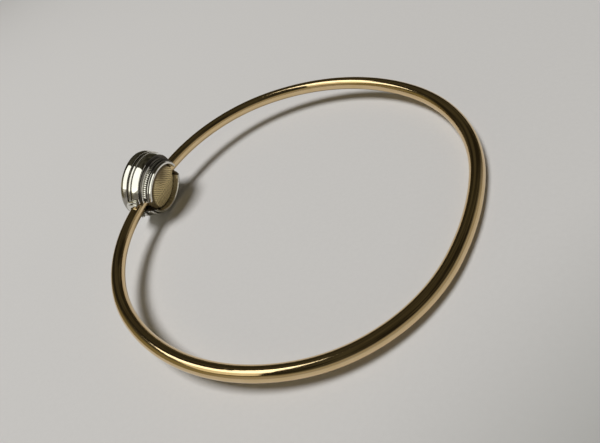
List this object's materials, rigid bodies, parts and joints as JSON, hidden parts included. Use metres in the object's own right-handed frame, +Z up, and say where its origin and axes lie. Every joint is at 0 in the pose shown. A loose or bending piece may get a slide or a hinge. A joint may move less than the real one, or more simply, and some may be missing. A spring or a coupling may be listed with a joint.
{
  "type": "round wire bangle with a ribbed drum ornament",
  "caption": "Rigid, slightly squared round bangle of polished gold wire, carrying a ribbed silver drum that is open at the back over a gold pad.",
  "frame": {"origin": "centre of the bangle's bounding box, on the surface that it lies on", "axes": "+Z up, X through the drum, which sits at -X, and Y across that line"},
  "size_m": [0.069, 0.0652, 0.0135],
  "materials": {
    "gold": "polished yellow gold wire, with a finely filed pad inside the drum",
    "silver": "polished silver, darkened in the grooves between the ribs"
  },
  "bodies": {
    "root": {"hoop": "gold", "drum": "silver"}
  },
  "joints": []
}
